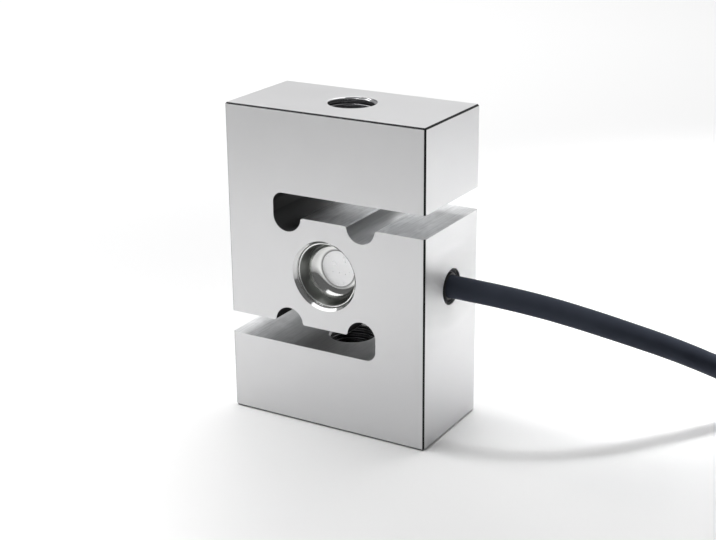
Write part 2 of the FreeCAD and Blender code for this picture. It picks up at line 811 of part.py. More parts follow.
make_load_cell_body()
make_seal_cup("front_seal_cup", -1)
make_seal_cup("rear_seal_cup", 1)
leads = []
for number, turn in enumerate(gauge_turns, start=1):
    make_strain_gauge(number, turn)
    leads.append((turn, make_gauge_leads(number, turn)))
make_terminal_board()
make_resistor("span_resistor_left", -size("upper_resistor_across"), size("upper_resistor_up"))
make_resistor("span_resistor_right", size("upper_resistor_across"), size("upper_resistor_up"))
make_resistor("zero_balance_resistor", 0, size("lower_resistor_up"))
make_resistor("zero_drift_resistor", size("side_resistor_across"), size("side_resistor_up"), upright=True)
make_solder(make_inner_cable(), leads)
make_cable_seal()
make_cable_bush()
make_free_cable()
doc.recompute()

# Every object is sound, then each sub-part is written

inner_features = set()
for thing in doc.Objects:
    if "Invalid" in thing.State or "Error" in thing.State:
        raise ValueError("%s is in the state %s" % (thing.Label, thing.State))
    if thing.isDerivedFrom("PartDesign::Body"):
        inner_features.update(member.Name for member in thing.Group)

os.makedirs("parts", exist_ok=True)
for thing in doc.Objects:
    is_part = thing.isDerivedFrom("Part::Feature") and thing.Name not in inner_features
    if not is_part:
        continue
    shape = thing.Shape
    if shape.isNull() or not shape.isValid() or not shape.Solids:
        raise ValueError("%s has no sound solid" % thing.Label)
    shape.exportStep("parts/%s.step" % thing.Label)
    print("%-24s %9.2f mm3 %d solid(s)" % (thing.Label, shape.Volume, len(shape.Solids)))
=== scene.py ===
import json
import math

import bmesh
import bpy
from mathutils import Matrix, Vector


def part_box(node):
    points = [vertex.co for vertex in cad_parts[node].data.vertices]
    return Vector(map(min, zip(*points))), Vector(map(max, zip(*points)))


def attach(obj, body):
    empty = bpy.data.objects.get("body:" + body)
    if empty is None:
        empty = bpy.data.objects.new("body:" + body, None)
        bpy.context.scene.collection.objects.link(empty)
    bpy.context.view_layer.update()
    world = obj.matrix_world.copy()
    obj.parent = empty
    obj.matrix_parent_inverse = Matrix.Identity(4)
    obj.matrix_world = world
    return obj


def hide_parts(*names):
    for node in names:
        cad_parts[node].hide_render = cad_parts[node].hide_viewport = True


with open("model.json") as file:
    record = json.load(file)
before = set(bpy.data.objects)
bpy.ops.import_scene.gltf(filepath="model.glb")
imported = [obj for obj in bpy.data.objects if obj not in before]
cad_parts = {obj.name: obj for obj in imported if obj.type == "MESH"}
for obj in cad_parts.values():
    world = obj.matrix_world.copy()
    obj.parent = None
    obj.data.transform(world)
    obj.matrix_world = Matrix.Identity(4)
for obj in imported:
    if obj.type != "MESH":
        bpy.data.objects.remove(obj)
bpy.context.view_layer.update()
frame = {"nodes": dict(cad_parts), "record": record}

MM = 0.001
nodes = frame["nodes"]
scene = bpy.context.scene

# In metres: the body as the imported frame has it, and the cable where it leaves the body
BODY_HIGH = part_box("load_cell_body")[1]
BODY_TOP = BODY_HIGH.z
BORE_UP = BODY_TOP / 2
FACE = BODY_HIGH.y
SIDE = BODY_HIGH.x
CABLE_UP = 35.2 * MM
CABLE_RADIUS = 2.6 * MM


# Camera at the photograph's viewing angle, round the middle of the body


def make_camera():
    azimuth, elevation, roll = math.radians(30.73), math.radians(19.74), math.radians(-0.55)
    distance, aside, above = 337.8 * MM, 1.13 * MM, -2.21 * MM
    flat = math.cos(elevation)
    back = Vector((math.sin(azimuth) * flat, -math.cos(azimuth) * flat, math.sin(elevation)))
    level = Vector((math.cos(azimuth), math.sin(azimuth), 0))
    right = level * math.cos(roll) + back.cross(level) * math.sin(roll)
    up = back.cross(right)
    data = bpy.data.cameras.new("camera")
    data.sensor_width = 36
    data.lens = 73.88
    camera = bpy.data.objects.new("camera", data)
    scene.collection.objects.link(camera)
    turn = Matrix((right, up, back)).transposed()
    camera.matrix_world = turn.to_4x4()
    camera.location = Vector((0, 0, BORE_UP)) + back * distance + right * aside + up * above
    scene.camera = camera


make_camera()


# Cable: the free stretch, then the put-away coil, as one spline, in millimetres

# The route's points from the bush to the coil, as in the part's source
ROUTE = [
    (23.4, 0.0, 35.2),
    (34.5, 0.0, 35.2),
    (48.5, 3.4, 33.0),
    (61.5, 12.0, 27.3),
    (71.5, 24.0, 20.0),
    (80.5, 36.2, 11.6),
    (89.0, 45.5, 5.4),
    (100.0, 50.9, 2.6),
    (111.3, 53.4, 2.6),
]
# Full layers that run inwards and outwards in turn, then a part layer whose last stretch turns in
COIL_CENTRE = (120.0, 22.5)
PER_TURN = 24
OUTER, INNER, PITCH = 32.5, 20.8, 5.2
LAYER_TURNS = (OUTER - INNER) / PITCH
FULL_LAYERS = 4
TOP_TURNS, TAIL_TURNS, END_TURNS = 1.2, 0.322, 0.015
LAST_TURNS = FULL_LAYERS * LAYER_TURNS + TOP_TURNS + TAIL_TURNS + END_TURNS
END_RADIUS = 21.4
# The cable climbs to the next layer over this share of a turn to each side of the layer's end
CLIMB = 0.25
# The turns rise a little over the tie that passes below them
TIE_ANGLE = 60.0
TIE_LIFT, TIE_SPREAD = 0.95, 6.0


def smooth(share):
    share = min(max(share, 0.0), 1.0)
    return share * share * (3 - 2 * share)


def coil_place(turns):
    """Angle, radius and height of the cable's middle, so many clockwise turns from the back."""
    layer = min(int(turns / LAYER_TURNS), FULL_LAYERS)
    along = turns - layer * LAYER_TURNS
    radius = OUTER - PITCH * along if layer % 2 == 0 else INNER + PITCH * along
    if layer == FULL_LAYERS:
        radius = OUTER - PITCH * min(along, TOP_TURNS)
        radius -= (radius - END_RADIUS) * smooth((along - TOP_TURNS) / TAIL_TURNS)
    up = CABLE_RADIUS / MM
    for climbed in range(1, FULL_LAYERS + 1):
        up += PITCH * smooth((turns - climbed * LAYER_TURNS + CLIMB) / (2 * CLIMB))
    angle = 90 - 360 * turns
    off_tie = (angle - TIE_ANGLE + 180) % 360 - 180
    up += TIE_LIFT * math.exp(-((math.radians(off_tie) * radius / TIE_SPREAD) ** 2))
    return angle, radius, up


def make_cable():
    steps = int(LAST_TURNS * PER_TURN)
    points = [Vector(point) for point in ROUTE]
    for step in range(steps + 1):
        angle, radius, up = coil_place(LAST_TURNS * step / steps)
        # The spline touches the runs between its points only at their middles
        radius /= math.cos(math.pi / PER_TURN)
        turn = math.radians(angle)
        x, y = COIL_CENTRE[0] + radius * math.cos(turn), COIL_CENTRE[1] + radius * math.sin(turn)
        points.append(Vector((x, y, up)))
    curve = bpy.data.curves.new("cable", "CURVE")
    curve.dimensions = "3D"
    spline = curve.splines.new("NURBS")
    spline.points.add(len(points) - 1)
    for place, point in zip(spline.points, points):
        place.co = (*(point * MM), 1)
        place.radius = CABLE_RADIUS
    spline.order_u = 3
    spline.use_endpoint_u = True
    curve.resolution_u = 5
    curve.bevel_depth = 1.0
    curve.bevel_resolution = 7
    curve.use_fill_caps = True
    cable = bpy.data.objects.new("cable", curve)
    scene.collection.objects.link(cable)
    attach(cable, "root")
    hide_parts("cable_tube", "cable_coil")
    return cable


cable = make_cable()


# Shaders: short names for the nodes that the materials use


class Shader:
    def __init__(self, name):
        self.material = bpy.data.materials.new(name)
        self.material.use_nodes = True
        self.tree = self.material.node_tree
        self.surface = self.tree.nodes["Principled BSDF"]
        self.place = self.node("ShaderNodeTexCoord").outputs["Object"]

    def node(self, kind, **settings):
        made = self.tree.nodes.new(kind)
        for name, value in settings.items():
            setattr(made, name, value)
        return made

    def feed(self, socket, value):
        if isinstance(value, bpy.types.NodeSocket):
            self.tree.links.new(value, socket)
        else:
            socket.default_value = value

    def sets(self, **values):
        """Sets the surface's own sockets, or links them."""
        for name, value in values.items():
            self.feed(self.surface.inputs[name.replace("_", " ")], value)

    def math(self, operation, *values):
        made = self.node("ShaderNodeMath", operation=operation)
        for socket, value in zip(made.inputs, values):
            self.feed(socket, value)
        return made.outputs[0]

    def axes(self):
        made = self.node("ShaderNodeSeparateXYZ")
        self.feed(made.inputs[0], self.place)
        return made.outputs

    def reach(self, across, up):
        """How far a point lies from the middle, by its two parts."""
        squares = [self.math("POWER", part, 2.0) for part in (across, up)]
        return self.math("SQRT", self.math("ADD", *squares))

    def stretched(self, x, y, z):
        made = self.node("ShaderNodeVectorMath", operation="MULTIPLY")
        self.feed(made.inputs[0], self.place)
        made.inputs[1].default_value = (x, y, z)
        return made.outputs[0]

    def noise(self, scale, detail=2.0, roughness=0.5, distortion=0.0, vector=None):
        made = self.node("ShaderNodeTexNoise")
        self.feed(made.inputs["Vector"], vector or self.place)
        made.inputs["Scale"].default_value = scale
        made.inputs["Detail"].default_value = detail
        made.inputs["Roughness"].default_value = roughness
        made.inputs["Distortion"].default_value = distortion
        return made.outputs["Fac"]

    def span(self, value, low, high, to_low=0.0, to_high=1.0, soft=False):
        """Maps low to high onto to_low to to_high, and holds the ends."""
        kind = "SMOOTHSTEP" if soft else "LINEAR"
        made = self.node("ShaderNodeMapRange", interpolation_type=kind)
        for socket, number in zip(made.inputs, (value, low, high, to_low, to_high)):
            self.feed(socket, number)
        return made.outputs[0]

    def band(self, value, rise, fall):
        """One between the rise and the fall, each a (low, high), and nothing outside them."""
        return self.math("MULTIPLY", self.span(value, *rise), self.span(value, *fall, 1.0, 0.0))

    def mix(self, share, first, second):
        made = self.node("ShaderNodeMix", data_type="RGBA")
        self.feed(made.inputs[0], share)
        for socket, colour in ((made.inputs[6], first), (made.inputs[7], second)):
            self.feed(socket, colour if isinstance(colour, bpy.types.NodeSocket) else (*colour, 1))
        return made.outputs[2]

    def greys(self, value, stops):
        """A grey for each value, straight between the stops, each (value, grey)."""
        low, high = stops[0][0], stops[-1][0]
        made = self.node("ShaderNodeValToRGB")
        elements = made.color_ramp.elements
        for place, _ in stops[1:-1]:
            elements.new((place - low) / (high - low))
        for element, (_, tone) in zip(elements, stops):
            element.color = (*grey(tone, -0.01), 1)
        self.feed(made.inputs[0], self.span(value, low, high))
        return made.outputs["Color"]

    def bump(self, height, strength, distance, normal=None):
        made = self.node("ShaderNodeBump")
        made.inputs["Strength"].default_value = strength
        made.inputs["Distance"].default_value = distance
        self.feed(made.inputs["Height"], height)
        if normal is not None:
            self.feed(made.inputs["Normal"], normal)
        return made.outputs[0]


def grey(value, warm=0.0):
    return (value * (1 + warm), value, value * (1 - warm))


# Nickel-plated body: ground faces, chamfers painted dark, milled slots and relief holes with painted
# light and shade, and a band of painted light round the cable

# In millimetres: a slot's near and far walls and its closed end, from the body's middle, and the
# radius of its relief holes
SLOT_NEAR, SLOT_FAR, SLOT_REACH, RELIEF = 12.75, 18.05, 13.1, 3.6
# A slot's or hole's finish and its painted light and shade reach this far past its walls
SLACK = 0.06
MOUTH_RADIUS = 8.3 * MM
# What lies within these distances of an outer face is on it, or is its edge chamfer
ON_FACE, EDGE = 0.03 * MM, 0.38 * MM
# Painted light and shade inside the slots and relief holes: greys by the millimetres from the middle
# towards the open end, mostly darker towards the closed end, and one near-black grey for the lower
# relief holes
UPPER_SLOT_LIGHT_AND_SHADE = ((-13, 0.1), (-5, 0.5), (-2, 1.0), (14, 1.0), (21, 0.85), (25, 0.75))
LOWER_SLOT_LIGHT_AND_SHADE = ((-13, 0.52), (8.6, 0.4), (9.4, 0.46), (15, 0.44), (22, 0.8), (25, 0.92))
UPPER_HOLES_LIGHT_AND_SHADE = ((-14, 0.1), (-5, 0.2), (5.8, 0.3), (7.5, 0.6), (11, 1.0))
LOWER_HOLES_SHADE = 0.03
# Colours of the finishes, with the painted light round the cable's entry, and the roughness of the
# plating
PLATE, PLATE_PALE, ENTRY_PAINTED_LIGHT = (0.63, 0.63, 0.636), (0.66, 0.66, 0.666), (1.0, 1.0, 1.0)
MOTTLE, CUTTER_MARK = (0.15, 0.15, 0.154), (0.1, 0.1, 0.103)
# The edge chamfers' near-black grey is a painted dark reflection
TURNED, CHAMFER_PAINTED_DARK = (0.78, 0.78, 0.78), (0.02, 0.02, 0.021)
PLATE_ROUGH = 0.39


def near_face(shader, along, face):
    """One on a pair of outer faces and on their edge chamfers."""
    return shader.math("GREATER_THAN", shader.math("ABSOLUTE", along), face - EDGE)


def off_face(shader, along, face):
    """One everywhere but on a pair of outer faces."""
    return shader.math("LESS_THAN", shader.math("ABSOLUTE", along), face - ON_FACE)


def slot_mask(shader, x, z, side):
    """Masks of the upper slot (side 1) or the lower one (side -1), and of its two relief holes."""
    up = shader.math("MULTIPLY", shader.math("SUBTRACT", z, BORE_UP), side)
    across = shader.math("MULTIPLY", x, side)
    above = shader.math("GREATER_THAN", up, (SLOT_NEAR - SLACK) * MM)
    below = shader.math("LESS_THAN", up, (SLOT_FAR + SLACK) * MM)
    before = shader.math("GREATER_THAN", across, -(SLOT_REACH + SLACK) * MM)
    slot = shader.math("MULTIPLY", shader.math("MULTIPLY", above, below), before)
    dz = shader.math("SUBTRACT", up, SLOT_NEAR * MM)
    rings = []
    for hole in (-1, 1):
        dx = shader.math("SUBTRACT", across, hole * (SLOT_REACH - RELIEF) * MM)
        rings.append(shader.math("LESS_THAN", shader.reach(dx, dz), (RELIEF + SLACK) * MM))
    holes = shader.math("MAXIMUM", *rings)
    return shader.math("MAXIMUM", slot, holes), holes


def bore_mouth_mask(shader, x, y, z):
    """One on the turned chamfer round the gauge bore, front and back."""
    reach = shader.reach(x, shader.math("SUBTRACT", z, BORE_UP))
    near = shader.math("LESS_THAN", reach, MOUTH_RADIUS)
    return shader.math("MULTIPLY", near, off_face(shader, y, FACE))


def entry_light_mask(shader, x, y, z):
    """One in a band of painted light round the cable, across the side face, fading above and below.
    """
    # Squeezed across, so that the band reaches both edges of the face
    across = shader.math("MULTIPLY", y, 0.45)
    reach = shader.reach(across, shader.math("SUBTRACT", z, CABLE_UP))
    near = shader.span(reach, 4 * MM, 12 * MM, 1.0, 0.0, soft=True)
    return shader.math("MULTIPLY", near, shader.math("GREATER_THAN", x, SIDE - ON_FACE))


def body_material():
    shader = Shader("nickel_steel")
    x, y, z = shader.axes()
    off_middle = shader.math("SUBTRACT", z, BORE_UP)
    outer = shader.math("ADD", near_face(shader, x, SIDE), near_face(shader, y, FACE))
    outer = shader.math("ADD", outer, near_face(shader, off_middle, BORE_UP))
    # A chamfer is near two outer faces at once
    chamfer = shader.math("GREATER_THAN", outer, 1.5)

    upper, upper_holes = slot_mask(shader, x, z, 1)
    lower, lower_holes = slot_mask(shader, x, z, -1)
    inner = shader.math("MULTIPLY", off_face(shader, y, FACE), off_face(shader, x, SIDE))
    milled = shader.math("MULTIPLY", shader.math("MAXIMUM", upper, lower), inner)
    holes = shader.math("MULTIPLY", shader.math("MAXIMUM", upper_holes, lower_holes), inner)
    turned = bore_mouth_mask(shader, x, y, z)
    entry_light = entry_light_mask(shader, x, y, z)

    # Ground and plated faces: faintly cloudy plating over a very fine grain
    cloud = shader.noise(40.0, 3.0)
    grain = shader.noise(1500.0)
    plate = shader.mix(shader.span(cloud, 0.3, 0.7), PLATE, PLATE_PALE)

    # Milled surfaces: painted light and shade in the slots and holes, mostly darker towards their
    # closed ends, mottled, under cutter marks
    which = shader.math("SUBTRACT", upper, lower)
    toward_open = shader.math("MULTIPLY", shader.math("MULTIPLY", x, 1 / MM), which)
    slot_shade = shader.mix(
        lower, shader.greys(toward_open, UPPER_SLOT_LIGHT_AND_SHADE), shader.greys(toward_open, LOWER_SLOT_LIGHT_AND_SHADE)
    )
    hole_shade = shader.mix(lower, shader.greys(toward_open, UPPER_HOLES_LIGHT_AND_SHADE), grey(LOWER_HOLES_SHADE))
    mottling = shader.noise(210.0, 3.0, 0.6, 0.8, vector=shader.stretched(1.0, 0.5, 1.0))
    marks = shader.noise(900.0, vector=shader.stretched(2.6, 0.12, 1.0))
    milling_and_shade = shader.mix(shader.span(mottling, 0.35, 0.65, 0.0, 0.26), slot_shade, MOTTLE)
    milling_and_shade = shader.mix(holes, milling_and_shade, hole_shade)
    milling_and_shade = shader.mix(shader.span(marks, 0.4, 0.7, 0.0, 0.2), milling_and_shade, CUTTER_MARK)

    colour = plate
    # The band round the cable is painted light, a white finish over the cable's dark reflection
    finishes = ((entry_light, ENTRY_PAINTED_LIGHT), (milled, milling_and_shade), (turned, TURNED), (chamfer, CHAMFER_PAINTED_DARK))
    for mask, finish in finishes:
        colour = shader.mix(mask, colour, finish)
    rough = shader.math("ADD", PLATE_ROUGH, shader.span(cloud, 0.3, 0.7, -0.015, 0.015))
    for mask, rougher in ((milled, 0.03), (holes, 0.2), (turned, -0.27), (entry_light, 0.25)):
        rough = shader.math("MULTIPLY_ADD", mask, rougher, rough)
    fine = shader.bump(grain, 0.03, 0.004 * MM)
    cuts = shader.bump(shader.math("MULTIPLY", marks, milled), 0.3, 0.04 * MM, fine)
    shader.sets(Base_Color=colour, Metallic=1.0, Roughness=rough, Normal=cuts)
    return shader.material


def cup_material():
    """Drawn stainless steel: satin disc, bright corner, and painted shade: a thin dark ring round
    the disc and a darker, duller wall.
    """
    shader = Shader("cup_steel")
    x, _, z = shader.axes()
    reach = shader.reach(x, shader.math("SUBTRACT", z, BORE_UP))
    # Each runs between these distances from the cup's axis, with soft edges
    disc = shader.span(reach, 4.1 * MM, 4.3 * MM, 1.0, 0.0)
    ring = shader.band(reach, (4.1 * MM, 4.25 * MM), (4.4 * MM, 4.8 * MM))
    wall = shader.band(reach, (6.3 * MM, 7.0 * MM), (7.21 * MM, 7.25 * MM))
    drawn = shader.noise(420.0, 3.0, 0.6, vector=shader.stretched(1.0, 0.3, 1.0))
    # The ring's and the wall's dark greys are painted shade
    corner, ring_shade, wall_shade = (0.7, 0.705, 0.695), (0.18, 0.18, 0.18), (0.36, 0.371, 0.355)
    colour = corner
    for mask, finish in ((disc, PLATE), (ring, ring_shade), (wall, wall_shade)):
        colour = shader.mix(mask, colour, finish)
    rough = shader.span(drawn, 0.3, 0.7, 0.08, 0.12)
    for mask, rougher in ((disc, 0.16), (wall, 0.2)):
        rough = shader.math("MULTIPLY_ADD", mask, rougher, rough)
    fine = shader.bump(drawn, 0.03, 0.01 * MM)
    shader.sets(Base_Color=colour, Metallic=1.0, Roughness=rough, Normal=fine)
    return shader.material


def plain_metal(name, colour, roughness, grain_scale=700.0, bump=0.04):
    """Metal whose tone, gloss and grain vary a little."""
    spread = 0.06
    shader = Shader(name)
    grain = shader.noise(grain_scale, 3.0, 0.6)
    cloud = shader.noise(90.0)
    darker = tuple(part * (1 - 3 * spread) for part in colour)
    tone = shader.mix(shader.span(cloud, 0.35, 0.65), colour, darker)
    rough = shader.span(grain, 0.3, 0.7, roughness - spread / 2, roughness + spread / 2)
    fine = shader.bump(grain, bump, 0.02 * MM)
    shader.sets(Base_Color=tone, Metallic=1.0, Roughness=rough, Normal=fine)
    return shader.material


def plain_plastic(name, colour, roughness, grain_scale=1200.0, bump=0.1, spread=0.12, gloss=0.4):
    """Moulded plastic or rubber with a fine surface grain."""
    shader = Shader(name)
    grain = shader.noise(grain_scale, 3.0, 0.55)
    cloud = shader.noise(120.0)
    paler = tuple(min(1.0, part * (1 + 2 * spread) + 0.002) for part in colour)
    tone = shader.mix(shader.span(cloud, 0.3, 0.7), colour, paler)
    rough = shader.span(grain, 0.3, 0.7, roughness - spread / 2, roughness + spread / 2)
    fine = shader.bump(grain, bump, 0.02 * MM)
    shader.sets(Base_Color=tone, Roughness=rough, Normal=fine, Specular_IOR_Level=gloss)
    return shader.material


# Colour and roughness, then the grain and the rest where they aren't the usual ones
METALS = {
    # The thread's grey is darker than the plating: painted shade of the hole's inside
    "thread_steel": ((0.43, 0.43, 0.44), 0.2, 500.0, 0.05),
    "gauge_metal": ((0.62, 0.58, 0.5), 0.3),
    "fine_copper": ((0.72, 0.36, 0.2), 0.3),
    "solder": ((0.66, 0.66, 0.67), 0.25),
    "shield_braid": ((0.6, 0.58, 0.55), 0.35),
    "tinned_copper": ((0.68, 0.66, 0.62), 0.3),
}
PLASTICS = {
    "gauge_film": ((0.62, 0.34, 0.08), 0.35),
    "glue": ((0.7, 0.68, 0.58), 0.3),
    "circuit_board": ((0.02, 0.16, 0.06), 0.35),
    "resistor_ceramic": ((0.03, 0.03, 0.035), 0.3),
    "bush_rubber": ((0.012, 0.012, 0.013), 0.42, 900.0, 0.12),
    "sealant": ((0.7, 0.7, 0.66), 0.4),
    "jacket": ((0.04, 0.046, 0.063), 0.65, 1500.0, 0.12, 0.1, 0.06),
    "wire_red": ((0.5, 0.015, 0.012), 0.35),
    "wire_black": ((0.015, 0.015, 0.016), 0.35),
    "wire_green": ((0.01, 0.22, 0.05), 0.35),
    "wire_white": ((0.78, 0.78, 0.74), 0.35),
    "tie_nylon": ((0.014, 0.014, 0.015), 0.38, 700.0, 0.1),
    "sleeve_black": ((0.012, 0.012, 0.013), 0.45, 600.0, 0.2),
}
materials = {"nickel_steel": body_material(), "cup_steel": cup_material()}
for name, looks in METALS.items():
    materials[name] = plain_metal(name, *looks)
for name, looks in PLASTICS.items():
    materials[name] = plain_plastic(name, *looks)
cable.data.materials.append(materials["jacket"])

slots = {part["node"]: part["material_slot"] for part in frame["record"]["subparts"]}
for name, node in nodes.items():
    node.data.materials.clear()
    node.data.materials.append(materials[slots[name]])


# Meshes


def add_piece(name, mesh, material, stands_for=()):
    piece = bpy.data.objects.new(name, mesh)
    scene.collection.objects.link(piece)
    mesh.materials.append(materials[material])
    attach(piece, "root")
    if stands_for:
        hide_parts(*stands_for)
    return piece


def grid_mesh(name, rings, sharp):
    """A closed skin through rings of points, each ring closed and the last joined to the first."""
    shape = bmesh.new()
    rows = [[shape.verts.new(point) for point in ring] for ring in rings]
    for ring, following in zip(rows, rows[1:] + rows[:1]):
        for i in range(len(ring)):
            j = (i + 1) % len(ring)
            shape.faces.new((ring[i], ring[j], following[j], following[i]))
    return finished(shape, name, sharp)


def finished(shape, name, sharp):
    """The shape as a mesh that is shaded smooth up to an angle of so many degrees."""
    bmesh.ops.remove_doubles(shape, verts=shape.verts, dist=1e-7)
    bmesh.ops.recalc_face_normals(shape, faces=shape.faces)
    mesh = bpy.data.meshes.new(name)
    shape.to_mesh(mesh)
    shape.free()
    mesh.shade_smooth()
    mesh.set_sharp_from_angle(angle=math.radians(sharp))
    return mesh


# Thread of the two M12 holes: crests and flanks that line the plain hole

# In millimetres: the thread, a little inside the plain hole, and its end ring at a mouth's chamfer
THREAD_PITCH, THREAD_MAJOR, THREAD_MINOR = 1.25, 5.985, 5.323
MOUTH_RING = 6.235
# Columns of points round the hole
COLUMNS = 96
# Shares of a pitch at which a turn has a row of points
ROWS = (0.0, 0.125, 0.2, 0.32, 0.4375, 0.5, 0.6, 0.6875, 0.78, 0.9)


def thread_radius(phase):
    """Radius of an internal metric thread at a share of its pitch."""
    root, crest = 1 / 8, 1 / 4
    flank = (1 - root - crest) / 2
    phase %= 1
    rise = min(max((phase - root) / flank, 0.0), 1.0)
    fall = max((phase - root - flank - crest) / flank, 0.0)
    return THREAD_MAJOR + (THREAD_MINOR - THREAD_MAJOR) * (rise - fall)


def mouth_radius(end):
    """Radius of a thread's end ring: at a mouth's chamfer, or in a slot at the plain hole."""
    at_mouth = min(end, BODY_TOP / MM - end) < 1
    return MOUTH_RING if at_mouth else THREAD_MAJOR


def make_thread(name, low, high, start):
    """Rows follow the helix, held between the hole's ends, where flat rings meet the body."""
    turns = range(-1, int((high - low) / THREAD_PITCH) + 1)
    rows = [turn + row for turn in turns for row in ROWS]
    shape = bmesh.new()
    columns = []
    for i in range(COLUMNS + 1):
        angle = 2 * math.pi * i / COLUMNS + start
        places = [(mouth_radius(low), low)]
        for row in rows:
            up = min(max(low + (row + i / COLUMNS) * THREAD_PITCH, low), high)
            places.append((thread_radius((up - low) / THREAD_PITCH - i / COLUMNS), up))
        places.append((mouth_radius(high), high))
        right, back = math.cos(angle), math.sin(angle)
        points = [Vector((radius * right, radius * back, up)) * MM for radius, up in places]
        columns.append([shape.verts.new(point) for point in points])
    for left, right in zip(columns, columns[1:]):
        for j in range(len(left) - 1):
            shape.faces.new((left[j], right[j], right[j + 1], left[j + 1]))
    bmesh.ops.remove_doubles(shape, verts=shape.verts, dist=2e-6)
    bmesh.ops.dissolve_degenerate(shape, edges=shape.edges, dist=1e-6)
    # The flat rings at the ends have the body's finish
    for face in shape.faces:
        middle = face.calc_center_median().z
        face.material_index = int(min(abs(middle - low * MM), abs(middle - high * MM)) < 1e-6)
    thread = add_piece(name, finished(shape, name, 70.0), "thread_steel")
    thread.data.materials.append(materials["nickel_steel"])


# A hole is as long as the body's arm is thick, and the rings lie sunk a little below its faces
TOP = BODY_TOP / MM
ARM = TOP / 2 - SLOT_FAR
SUNK = 0.015
make_thread("top_thread_crests", TOP - ARM + SUNK, TOP - SUNK, math.radians(50))
make_thread("bottom_thread_crests", SUNK, ARM - SUNK, math.radians(200))


# Drawn cups and the cable bush, turned about their axes


def rounded_profile(corners):
    """Points along an outline of (along, radius, rounding), each corner rounded with an arc."""
    points = []
    count = len(corners)
    for i, (along, radius, rounding) in enumerate(corners):
        corner = Vector((along, radius))
        if rounding <= 0:
            points.append(corner)
            continue
        before = (Vector(corners[i - 1][:2]) - corner).normalized()
        after = (Vector(corners[(i + 1) % count][:2]) - corner).normalized()
        half = before.angle(after) / 2
        middle = corner + (before + after).normalized() * (rounding / math.sin(half))
        start = corner + before * (rounding / math.tan(half)) - middle
        end = corner + after * (rounding / math.tan(half)) - middle
        # A point about every 9 degrees
        steps = max(3, int(math.degrees(math.pi - 2 * half) / 9))
        turn = math.atan2(start.x * end.y - start.y * end.x, start.dot(end))
        for step in range(steps + 1):
            points.append(middle + Matrix.Rotation(turn * step / steps, 2) @ start)
    return points


def turned_mesh(name, profile, origin, along, across, count, sharp):
    """A profile of (along, radius) points turned about an axis."""
    other = along.cross(across)
    rings = []
    for i in range(count):
        angle = 2 * math.pi * i / count
        outward = across * math.cos(angle) + other * math.sin(angle)
        rings.append([origin + (along * point.x + outward * point.y) * MM for point in profile])
    return grid_mesh(name, rings, sharp)


def make_cup(name, side, node):
    """A drawn cup that opens to the front (side -1) or to the back (side 1)."""
    low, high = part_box(node)
    rim = low.y if side < 0 else high.y
    depth = (high.y - low.y) / MM
    wall, corner, outer, lip = 0.4, 3.0, 7.6, 0.14
    # Hardly off the axis
    hub = 0.0001
    profile = rounded_profile([
        (0, outer - wall, lip),
        (depth - wall, outer - wall, corner),
        (depth - wall, hub, 0),
        (depth, hub, 0),
        (depth, outer, corner + wall),
        (0, outer, lip),
    ])
    origin, inwards = Vector((0, rim, BORE_UP)), Vector((0, -side, 0))
    mesh = turned_mesh(name, profile, origin, inwards, Vector((1, 0, 0)), 144, 60.0)
    add_piece(name, mesh, "cup_steel", [node])


make_cup("front_cup", -1, "front_seal_cup")
make_cup("rear_cup", 1, "rear_seal_cup")


def make_bush():
    """Rubber bush: a recessed face, a lip round it and a collar that grips the cable."""
    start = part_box("cable_bush")[0].x
    inner, outer = 2.58, 4.12
    face = 8.5
    recess, collar = face - 0.35, face + 0.38
    profile = rounded_profile([
        (0, inner, 0),
        (0, outer, 0.3),
        (face, outer, 0.22),
        (face, 3.72, 0.1),
        (recess, 3.6, 0.15),
        (recess, 3.25, 0.12),
        (collar, 3.08, 0.2),
        (collar, 2.72, 0.1),
        (face - 0.1, inner, 0),
    ])
    origin = Vector((start, 0, CABLE_UP))
    mesh = turned_mesh("bush", profile, origin, Vector((1, 0, 0)), Vector((0, 1, 0)), 96, 50.0)
    add_piece("bush", mesh, "bush_rubber", ["cable_bush"])


make_bush()


# Tie round the coil, drawn tight over the turns where it crosses them

# In millimetres: the strap's thickness, half its width, and how far its outer edges are cut back
TIE_THICK, TIE_HALF, TIE_EDGE = 0.9, 1.8, 0.22
TIE_STEPS = 96
# Where the head sits, in degrees round the tie from its outer side
HEAD_ANGLE = 128
# The head, and the cut tail that stands out of it: each block's low and high corners (down the
# slope, along the coil, off the slope), and how far its edges are rounded
HEAD_BLOCKS = (
    ((-2.7, -2.5, 0.05), (2.7, 2.5, 3.6), 0.45),
    ((-1.1, -1.75, 3.2), (-0.2, 1.75, 7.2), 0.18),
)


def tie_place(point, aside):
    """A point (outwards, up) of the plane that the tie lies in, moved aside along the coil."""
    turn = math.radians(TIE_ANGLE)
    out = Vector((math.cos(turn), math.sin(turn), 0))
    along = Vector((-math.sin(turn), math.cos(turn), 0))
    up = Vector((0, 0, point.y))
    return (Vector((*COIL_CENTRE, 0)) + out * point.x + up + along * aside) * MM


def tie_line():
    """The tie's inner line, and the way outwards at each of its points."""
    first = (90 - TIE_ANGLE) / 360
    crossings = [Vector(coil_place(first + n)[1:]) for n in range(int(LAST_TURNS - first) + 1)]
    line, ways = [], []
    for i in range(TIE_STEPS):
        angle = 2 * math.pi * i / TIE_STEPS
        way = Vector((math.cos(angle), math.sin(angle)))
        point = max(crossings, key=way.dot) + way * (CABLE_RADIUS / MM)
        # The bottom run lies flat on the floor
        line.append(Vector((point.x, max(point.y, TIE_THICK))))
        ways.append(way)
    return line, ways


def tie_strap(line, ways):
    half, flat = TIE_HALF, TIE_HALF - TIE_EDGE
    rings = []
    for near, way in zip(line, ways):
        far = near + way * TIE_THICK
        far.y = max(far.y, 0.0)
        edge = far - (far - near).normalized() * TIE_EDGE
        ring = [(near, -half), (edge, -half), (far, -flat)]
        ring += [(point, -aside) for point, aside in reversed(ring)]
        rings.append([tie_place(*place) for place in ring])
    return grid_mesh("tie_strap", rings, 50.0)


